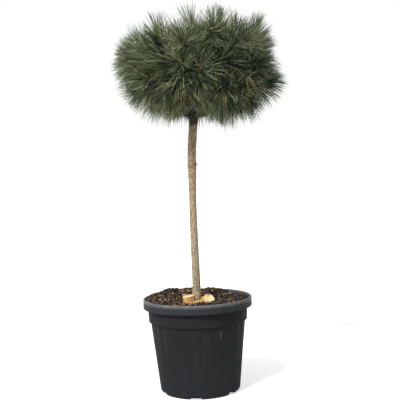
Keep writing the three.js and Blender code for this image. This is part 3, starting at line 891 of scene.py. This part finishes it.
STEM_BARK = 0.7 * MM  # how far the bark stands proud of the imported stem
STEM_FLARE = 1.9 * MM
SPUR_LEVEL = 829 * MM
KNOTS = [  # height, angle round the stem in radians, how proud in mm
    (0.829, 0.8, 1.6), (0.812, 1.1, 1.0), (0.60, 4.0, 0.7), (0.47, 2.4, 0.7), (0.93, 5.2, 1.2),
]
KNOT_HALF_HEIGHT = 6 * MM
KNOT_HALF_TURN = 0.42
SPINE_STEPS = 6
LIMB_STEP = 2.5 * MM


def make_stem():
    rings = STEM_RINGS
    z = np.arange(rings[0, 0], rings[-1, 0] + 8 * MM, 1.3 * MM)
    x, y, radius = (np.interp(z, rings[:, 0], rings[:, k]) for k in (1, 2, 3))
    first = rings[0, 0]

    def relief(points, angles):
        height = points[0, 2]
        out = bark_relief(points, angles) + STEM_BARK
        flare = STEM_FLARE * math.exp(-(height - first) / (20 * MM))
        out = out + flare * np.cos(4 * angles + 0.6)
        for level, angle, proud in KNOTS:
            off = (angles - angle + math.pi) % (2 * math.pi) - math.pi
            above = (height - level) / KNOT_HALF_HEIGHT
            out = out + proud * MM * np.exp(-(above**2) - (off / KNOT_HALF_TURN) ** 2)
        return out

    pile = Pile()
    pile.add(*sweep(np.stack([x, y, z], 1), radius, 84, relief))
    spur = np.array([np.interp(SPUR_LEVEL, z, x) + 12.5 * MM, -3 * MM, SPUR_LEVEL])
    path = bezier(spur, spur + (0.003, 0, 0.001), spur + (0.005, 0, 0.003), spur + (0.006, 0, 0.006), 10)
    pile.add(*sweep(path, np.linspace(3.4, 1.5, 10) * MM, 14, bark_relief))
    return finish_piece(pile.piece("stem_bark"), [stem_bark()], ["trunk"])


def spine(name):
    """The middle line of a packed limb, from its stem end, with its mean radius."""
    vertices, _, _ = node_arrays(name)
    centre = vertices.mean(0)
    along = np.linalg.svd(vertices - centre)[2][0]
    outward = centre - np.array([stem_x(centre[2]), 0, centre[2] - 0.05])
    if np.dot(along, outward) < 0:
        along = -along
    travel = (vertices - centre) @ along
    edges = np.linspace(travel.min(), travel.max(), SPINE_STEPS + 1)
    points, radii = [], []
    for low, high in zip(edges[:-1], edges[1:]):
        chosen = vertices[(travel >= low - 1e-4) & (travel <= high + 1e-4)]
        if len(chosen) < 5:
            continue
        middle = chosen.mean(0)
        off = chosen - middle
        off = off - np.outer(off @ along, along)
        points.append(middle)
        radii.append(np.linalg.norm(off, axis=1).mean())
    return np.array(points), np.array(radii)


def stem_x(height):
    """How far sideways the stem's middle is at one height or at several."""
    return np.interp(height, STEM_RINGS[:, 0], STEM_RINGS[:, 1])


def smooth_path(points, radii):
    """A finely spaced path and radii through a few points."""
    gaps = np.linalg.norm(np.diff(points, axis=0), axis=1)
    travel = np.concatenate([[0], np.cumsum(gaps)])
    count = max(8, int(travel[-1] / LIMB_STEP))
    where = np.linspace(0, travel[-1], count)
    path = np.stack([np.interp(where, travel, points[:, k]) for k in range(3)], 1)
    for _ in range(6):
        path[1:-1] = (path[:-2] + 2 * path[1:-1] + path[2:]) / 4
    return path, np.interp(where, travel, radii)


def make_boughs(names, pile):
    """Bark-covered limbs. Returns where each one ends, its heading there and its end radius."""
    ends = {}
    for name in names:
        points, radii = spine(name)
        heading = unit(points[1] - points[0])
        root = points[0] - heading * 14 * MM
        tip_way = unit(points[-1] - points[-2])
        tip = points[-1] + tip_way * 10 * MM
        points = np.concatenate([[root], points, [tip]])
        radii = np.concatenate([[radii[0] * 1.25], radii, [radii[-1] * 0.92]])
        path, radii = smooth_path(points, radii)
        pile.add(*sweep(path, radii, 22, bark_relief))
        ends[name] = (tip, tip_way, float(radii[-1]))
    return ends


# ------------------------------------------------------------------ where the shoots stand

MASSES = sorted(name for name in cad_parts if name.startswith("needles_"))
BOUGHS = sorted(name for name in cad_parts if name.startswith("bough_"))
LIMB_OF = {mass: mass.replace("needles", "bough") for mass in MASSES}
LIMB_OF["needles_top"] = "leader"

REACH_ROWS = 60
REACH_COLUMNS = 120
BEYOND = (-9 * MM, 13 * MM)  # how far short of the outline, or past it, each shoot's needles end
FURTHER = {"under": 150 * MM, "top": 16 * MM}  # how much further the lowest and tallest shoots may reach
SHORTEST = 0.62  # the least share of its length that a needle keeps when it is drawn in
RAY_LENGTH = 0.7  # of the rays that find the outline from outside
RAY_FAN = 0.05  # between the rays that bridge the gaps between masses
POLE = 0.7  # the rise of a direction from which the crown counts as its top or its underside


class Crown:
    """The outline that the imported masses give, measured from the crown's middle."""

    def __init__(self):
        vertices, triangles, self.owner = node_arrays(*MASSES)
        self.tree = BVHTree.FromPolygons(vertices.tolist(), triangles.tolist())
        low, high = vertices.min(0), vertices.max(0)
        self.middle = np.array([(low[0] + high[0]) / 2, 0, low[2] + 0.53 * (high[2] - low[2])])
        self.reach = self.reach_by_direction()

    def reach_by_direction(self):
        """The outline's distance on a grid of elevation and azimuth, with the gaps between masses filled."""
        grid = np.zeros((REACH_ROWS, REACH_COLUMNS))
        for row in range(REACH_ROWS):
            lift = math.pi * ((row + 0.5) / REACH_ROWS - 0.5)
            for column in range(REACH_COLUMNS):
                turn = 2 * math.pi * column / REACH_COLUMNS
                way = [math.cos(lift) * math.cos(turn), math.cos(lift) * math.sin(turn), math.sin(lift)]
                grid[row, column] = self.outline(np.array(way))[0]
        return grid

    def reach_along(self, ways):
        """The outline's distance in many directions, from the grid."""
        row = (np.arcsin(np.clip(ways[:, 2], -1, 1)) / math.pi + 0.5) * REACH_ROWS - 0.5
        column = np.arctan2(ways[:, 1], ways[:, 0]) / (2 * math.pi) * REACH_COLUMNS
        first, left = np.floor(row), np.floor(column)
        down, along = row - first, column - left
        rows = [np.clip(first + k, 0, REACH_ROWS - 1).astype(int) for k in (0, 1)]
        columns = [(left + k).astype(int) % REACH_COLUMNS for k in (0, 1)]
        low = self.reach[rows[0], columns[0]] * (1 - along) + self.reach[rows[0], columns[1]] * along
        high = self.reach[rows[1], columns[0]] * (1 - along) + self.reach[rows[1], columns[1]] * along
        return low * (1 - down) + high * down

    def outline(self, direction):
        """How far the outline is in a direction, and the mass that is met there."""
        best, mass = 0, None
        side, other = across(direction)
        for a, b in ((0, 0), (RAY_FAN, 0), (-RAY_FAN, 0), (0, RAY_FAN), (0, -RAY_FAN)):
            way = unit(direction + a * side + b * other)
            start = Vector(self.middle + way * RAY_LENGTH)
            hit, _, face, far = self.tree.ray_cast(start, Vector(-way), RAY_LENGTH)
            if hit is not None and RAY_LENGTH - far > best:
                best, mass = RAY_LENGTH - far, MASSES[self.owner[face]]
        return best, mass


def shoot_heading(crown, place):
    """Shoots point outwards, and turn up the higher they stand."""
    outward = unit(place - crown.middle)
    lift = np.clip(0.18 + 0.7 * outward[2], -0.15, 0.9)
    return unit(outward + UP * lift + rng.normal(0, 0.32, 3))


def depth_at(way):
    """How far inside the outline the shoots' tips stand, in a direction from the crown's middle."""
    if way[2] > 0:
        return SIDE_DEPTH + (TOP_DEPTH - SIDE_DEPTH) * min(1, way[2] / POLE)
    low = min(1, -way[2] / POLE)
    return SIDE_DEPTH + (UNDER_DEPTH - SIDE_DEPTH) * low + LOW_SIDE_EXTRA * math.sin(math.pi * low)


def clear_of_stem(place):
    """Whether a shoot's tip stands off the stem, and off the view of the stem from the front."""
    off = place[0] - stem_x(place[2])
    beside = math.hypot(off, place[1]) > STEM_CLEARANCE or place[2] > LIMBS_START
    in_view = abs(off) < OPEN_HALF_WIDTH + 12 * MM and place[1] < 0 and place[2] < OPEN_BELOW + 22 * MM
    return beside and not in_view


def front_place(crown, x, z, depth):
    """The place with a sideways position and a height that lies a depth inside the crown's front."""
    for y in np.arange(-0.32, 0.0, 0.003):
        place = np.array([x * MM, y, z * MM])
        reach, mass = crown.outline(unit(place - crown.middle))
        if np.linalg.norm(place - crown.middle) < reach - depth:
            return place, mass
    return np.array([x * MM, -0.02, z * MM]), mass


def shoot_at(tip, mass, heading, layer="outer", bud=False, old=0, spread=76):
    """A shoot: the mass it belongs to, its share of old needles and their spread in degrees."""
    return {"tip": tip, "mass": mass, "heading": heading, "layer": layer, "bud": bud, "old": old,
            "spread": spread}


def placed(crown, *place):
    """A place given in mm, and the mass that lies in its direction."""
    tip = np.array(place) * MM
    return tip, crown.outline(unit(tip - crown.middle))[1]


def named_shoots(crown):
    """The shoots that show plainly."""
    shoots = []
    for x, z, bud, old, aside, rise in FRONT_SHOOTS:
        tip, mass = front_place(crown, x, z, BUD_DEPTH if bud else SIDE_DEPTH)
        heading = unit(np.array([aside, -1.0, rise]) + rng.normal(0, 0.06, 3))
        shoots.append(shoot_at(tip, mass, heading, bud=bud, old=old))
    for x, y, z, aside, spread in TOP_SHOOTS:
        heading = unit(np.array([aside, y * 2 * MM, 1.0]))
        shoots.append(shoot_at(*placed(crown, x, y, z), heading, "top", True, spread=spread))
    for x, y, z, aside, spread in UNDER_SHOOTS:
        heading = unit(np.array([aside, y * 4 * MM, -1.0]))
        shoots.append(shoot_at(*placed(crown, x, y, z), heading, "under", old=0.06, spread=spread))
    for x, y, z, aside, rise in SIDE_SHOOTS:
        shoots.append(shoot_at(*placed(crown, x, y, z), unit([aside, -0.1, rise])))
    return shoots


def fill_shoots(crown, shoots, layer, spacing, tries):
    """Adds shoot tips at random at a depth below the outline, each a spacing from the others."""
    tips = [shoot["tip"] for shoot in shoots]
    for _ in range(tries):
        way = unit(rng.normal(size=3))
        reach, mass = crown.outline(way)
        if mass is None:
            continue
        depth = INNER_DEPTH if layer == "inner" else depth_at(way)
        place = crown.middle + way * (reach - depth * rng.uniform(0.92, 1.2))
        if way[2] < -0.93 or not clear_of_stem(place):
            continue
        if np.linalg.norm(np.array(tips) - place, axis=1).min() < spacing * rng.uniform(0.9, 1.15):
            continue
        tips.append(place)
        bud = rng.random() < 0.25
        shoots.append(shoot_at(place, mass, shoot_heading(crown, place), layer, bud))
    return shoots


# ------------------------------------------------------------------ twigs


def split(tips):
    """Two groups on either side of the plane through their middle, across their longest spread."""
    places = np.array([shoot["root"] for shoot in tips])
    centre = places.mean(0)
    along = np.linalg.svd(places - centre)[2][0]
    side = (places - centre) @ along
    order = np.argsort(side)
    half = len(tips) // 2
    return [tips[k] for k in order[:half]], [tips[k] for k in order[half:]]


def grow(pile, start, heading, radius, shoots):
    """One limb's growth: it forks again and again until each twig carries one shoot."""
    if len(shoots) == 1:
        shoot = shoots[0]
        root, way = shoot["root"], shoot["heading"]
        reach = np.linalg.norm(root - start) * 0.4
        first = bezier(start, start + heading * reach, root - way * reach, root, 12)
        last = root + np.outer(np.linspace(0.12, 1, 8), shoot["tip"] - root)
        path = np.concatenate([first, last])
        radii = np.linspace(max(radius, SHOOT_RADIUS * 1.1), SHOOT_RADIUS * 0.85, len(path))
        pile.add(*sweep(path, radii * rng.uniform(0.93, 1.1, len(path)), 7))
        return
    centre = np.mean([shoot["root"] for shoot in shoots], axis=0)
    share = 0.34 if len(shoots) > 3 else 0.45
    fork = start + (centre - start) * share + rng.normal(0, 4 * MM, 3)
    reach = np.linalg.norm(fork - start) * 0.4
    way = unit(fork - start + heading * reach)
    path = bezier(start, start + heading * reach, fork - way * reach, fork, 9)
    end_radius = max(SHOOT_RADIUS * 1.15, radius * 0.82)
    pile.add(*sweep(path, np.linspace(radius, end_radius, 9) * rng.uniform(0.95, 1.07, 9), 9))
    for group in split(shoots):
        child = max(SHOOT_RADIUS * 1.1, end_radius * math.sqrt(len(group) / len(shoots)))
        grow(pile, fork, way, child, group)


# ------------------------------------------------------------------ needles

NEEDLE_RINGS = np.array([0.0, 0.42, 0.8])
NEEDLE_GIRTH = np.array([0.7, 1.0, 0.72])
NEEDLE_POINTS = 10


def needle_arrays(base, way, bend, length, girth, roll):
    """Many needles at once: slim three-sided blades that bend and end in a point."""
    count = len(base)
    side, other = across(way)
    rings = []
    for t, share in zip(NEEDLE_RINGS, NEEDLE_GIRTH):
        middle = base + way * (length * t)[:, None] + bend * (t * t)
        for k in range(3):
            spoke = spokes(side, other, roll + k * 2 * math.pi / 3)
            rings.append(middle + spoke * (girth * share)[:, None])
    rings.append(base + way * length[:, None] + bend)
    vertices = np.stack(rings, 1).reshape(-1, 3)
    first = (np.arange(count) * NEEDLE_POINTS)[:, None]
    quads = [first + [r * 3 + k, r * 3 + (k + 1) % 3, r * 3 + 3 + (k + 1) % 3, r * 3 + 3 + k]
             for r in (0, 1) for k in range(3)]
    triangles = [first + [6 + k, 6 + (k + 1) % 3, 9] for k in range(3)] + [first + [2, 1, 0]]
    return vertices, np.concatenate(quads), np.concatenate(triangles)


# The greens are lit and shaded tones of one needle colour: the deepest is painted shade among the needles,
# the palest painted highlight.
NEEDLE_COLOURS = {  # plain colours, dealt out by spray
    "needles_deep": (0.010, 0.015, 0.013),
    "needles_dark": (0.036, 0.052, 0.032),
    "needles_mid": (0.086, 0.120, 0.060),
    "needles_olive": (0.170, 0.182, 0.078),
    "needles_light": (0.26, 0.31, 0.165),
    "needles_pale": (0.48, 0.53, 0.34),
    "needles_old": (0.30, 0.265, 0.11),
}
NEEDLE_ROUGHNESS = 0.42
NEEDLE_SPECULAR = 0.22
SHADE_LEVELS = np.array([-0.55, -0.1, 0.35, 0.5, 0.85, 1.35])  # where each green lies from dark to light
SHADE_SPREAD = 0.66
# Painted light and shade by layer: darker for the inner and top shoots, paler for the hanging ones.
LAYER_PAINTED_LIGHT = {"inner": -0.5, "top": -0.45, "under": 0.42}
# Every spray mixes in painted shade (deep needles) and painted highlights (light and pale needles).
EVERYWHERE = np.array([0.70, 0, 0, 0, 0.12, 0.10])  # shares that every shoot has
LEAN_AT_TIP = {"bud": 26, "plain": 15, "top": 8, "under": 8}  # degrees, for needles at the shoot's tip
PAIRS = {"outer": 148, "top": 54, "under": 92, "inner": 72}


def spray_colours(crown, shoot):
    """How a shoot's needles are shared between the plain colours, painting light and shade: paler to the
    upper left, where the key light falls, and higher up.
    """
    x, _, z = shoot["tip"] - crown.middle
    # Painted light: paler to the upper left and higher up, darker to the lower right.
    light = 0.36 - 0.75 * x + 0.8 * z + rng.normal(0, 0.2) + LAYER_PAINTED_LIGHT.get(shoot["layer"], 0)
    weights = np.exp(-(((light - SHADE_LEVELS) / SHADE_SPREAD) ** 2)) + EVERYWHERE
    greens = weights / weights.sum() * (1 - shoot["old"])
    return np.append(greens, shoot["old"])


def hangs_clear(base, way, bend, length):
    """Which needles leave the stem in view: none passes in front of it below the crown's opening."""
    clear = np.ones(len(base), bool)
    for t in (0.5, 0.75, 1.0):
        point = base + way * (length * t)[:, None] + bend * (t * t)
        off = np.abs(point[:, 0] - stem_x(point[:, 2]))
        near = (off < OPEN_HALF_WIDTH) & (point[:, 1] < OPEN_HALF_WIDTH)
        clear &= ~(near & (point[:, 2] < OPEN_BELOW))
    return clear


def drawn_in(crown, base, way, bend, length, beyond):
    """Needle lengths cut back where the needle would pass its shoot's share of the outline."""
    tip = base + way * length[:, None] + bend - crown.middle
    far = np.linalg.norm(tip, axis=1)
    limit = crown.reach_along(tip / far[:, None]) + beyond + rng.uniform(-9 * MM, 9 * MM, len(base))
    return length - np.clip(far - limit, 0, length * (1 - SHORTEST))


def dress(crown, shoot, piles):
    """Pairs of needles round one shoot: close about its tip, spreading wide further back."""
    pairs = int(PAIRS[shoot["layer"]] * rng.uniform(0.85, 1.15))
    way = shoot["heading"]
    side, other = across(way)
    back = NEEDLED_LENGTH * rng.random(pairs) ** 1.3
    share = back / NEEDLED_LENGTH
    near = LEAN_AT_TIP["bud"] if shoot["bud"] else LEAN_AT_TIP["plain"]
    near = LEAN_AT_TIP.get(shoot["layer"], near)
    lean = np.radians(near + (shoot["spread"] - near) * share**0.6 + rng.normal(0, 11, pairs))
    turn = np.arange(pairs) * GOLDEN_TURN + rng.normal(0, 0.3, pairs)
    spoke = spokes(side, other, turn)
    base = shoot["tip"] - way * back[:, None] + spoke * SHOOT_RADIUS * 0.8
    heading = unit(np.cos(lean)[:, None] * way + np.sin(lean)[:, None] * spoke)
    full = 0.85 + 0.15 * np.minimum(1, share * 6)
    length = NEEDLE_LENGTH * np.clip(rng.normal(1, 0.1, pairs), 0.7, 1.2) * full
    droop = -UP * (length * rng.uniform(0.02, 0.12, pairs))[:, None]
    inward = way * (length * rng.uniform(0.0, 0.12, pairs))[:, None]
    bend = droop + inward
    beyond = rng.uniform(*BEYOND) + FURTHER.get(shoot["layer"], 0)
    colour = rng.choice(len(NEEDLE_COLOURS), pairs, p=spray_colours(crown, shoot))
    for twin in (-1, 1):
        opened = unit(heading + twin * np.cross(heading, way) * rng.uniform(0.05, 0.2, pairs)[:, None]
                      + rng.normal(0, 0.02, (pairs, 3)))
        girth = NEEDLE_RADIUS * rng.uniform(0.85, 1.12, pairs)
        roll = rng.uniform(0, 2 * math.pi, pairs)
        clear = hangs_clear(base, opened, bend, length)
        drawn = drawn_in(crown, base, opened, bend, length, beyond)
        for k, name in enumerate(NEEDLE_COLOURS):
            some = (colour == k) & clear
            if some.any():
                piles[name].add(*needle_arrays(base[some], opened[some], bend[some], drawn[some],
                                               girth[some], roll[some]))


def add_straws(crown, piles):
    """A few dead, straw-coloured needles that lie on the front of the crown."""
    for x0, z0, x1, z1 in STRAWS:
        start, _ = front_place(crown, x0, z0, STRAW_DEPTH)
        end, _ = front_place(crown, x1, z1, STRAW_DEPTH)
        way, far = unit(end - start), np.linalg.norm(end - start)
        base = start + rng.normal(0, 3 * MM, (3, 3))
        heading = unit(way + rng.normal(0, 0.12, (3, 3)))
        bend, girth = rng.normal(0, 2 * MM, (3, 3)), np.full(3, NEEDLE_RADIUS)
        piles["needles_old"].add(*needle_arrays(base, heading, bend, np.full(3, far), girth, np.zeros(3)))


def make_bud(pile, shoot):
    """A pale resinous bud on the shoot's tip, plump and pointed, with overlapping scales."""
    length, girth = rng.uniform(13, 19) * MM, rng.uniform(3.0, 3.8) * MM
    t = np.linspace(0, 1, 11)
    radii = girth * np.sin(np.pi * (0.16 + 0.84 * t) ** 0.8) ** 0.8 * (1 + 0.1 * np.sin(t * 30)) + 0.15 * MM
    pile.add(*sweep(shoot["tip"] + np.outer(t * length - 2 * MM, shoot["heading"]), radii, 10))


def make_crown():
    crown = Crown()
    shoots = named_shoots(crown)
    shoots = fill_shoots(crown, shoots, "outer", SHOOT_SPACING, 2600)
    shoots = fill_shoots(crown, shoots, "inner", INNER_SPACING, 900)
    for shoot in shoots:
        shoot["root"] = shoot["tip"] - shoot["heading"] * NEEDLED_LENGTH
    limbs = Pile()
    ends = make_boughs(BOUGHS + ["leader"], limbs)
    finish_piece(limbs.piece("bough_bark"), [limb_bark()], BOUGHS + ["leader"])
    twigs = Pile()
    for mass in MASSES:
        own = [shoot for shoot in shoots if shoot["mass"] == mass]
        if own:
            tip, way, radius = ends[LIMB_OF[mass]]
            grow(twigs, tip - way * 4 * MM, way, radius, own)
    finish_piece(twigs.piece("twigs"), [limb_bark()], MASSES)
    buds = Pile()
    for shoot in shoots:
        if shoot["bud"]:
            make_bud(buds, shoot)
    bud = chip_wood("bud_scales", (0.40, 0.27, 0.13), (0.70, 0.58, 0.37))
    finish_piece(buds.piece("buds"), [bud], MASSES)
    piles = {name: Pile() for name in NEEDLE_COLOURS}
    for shoot in shoots:
        dress(crown, shoot, piles)
    add_straws(crown, piles)
    for name, pile in piles.items():
        paint = Paint(name, NEEDLE_COLOURS[name], NEEDLE_ROUGHNESS, NEEDLE_SPECULAR)
        finish_piece(pile.piece(name), [paint.material], MASSES)


# ------------------------------------------------------------------ the whole

make_camera()
make_key()
make_room()
make_floor()
make_pot()
soil = make_soil()
make_litter(soil)
make_fibres(soil)
face, side = sawn_face(), stub_side()
make_stub("stub_left", face, side)
make_stub("stub_right", face, side)
STEM_RINGS = stem_rings()
make_stem()
make_crown()

bpy.context.view_layer.update()
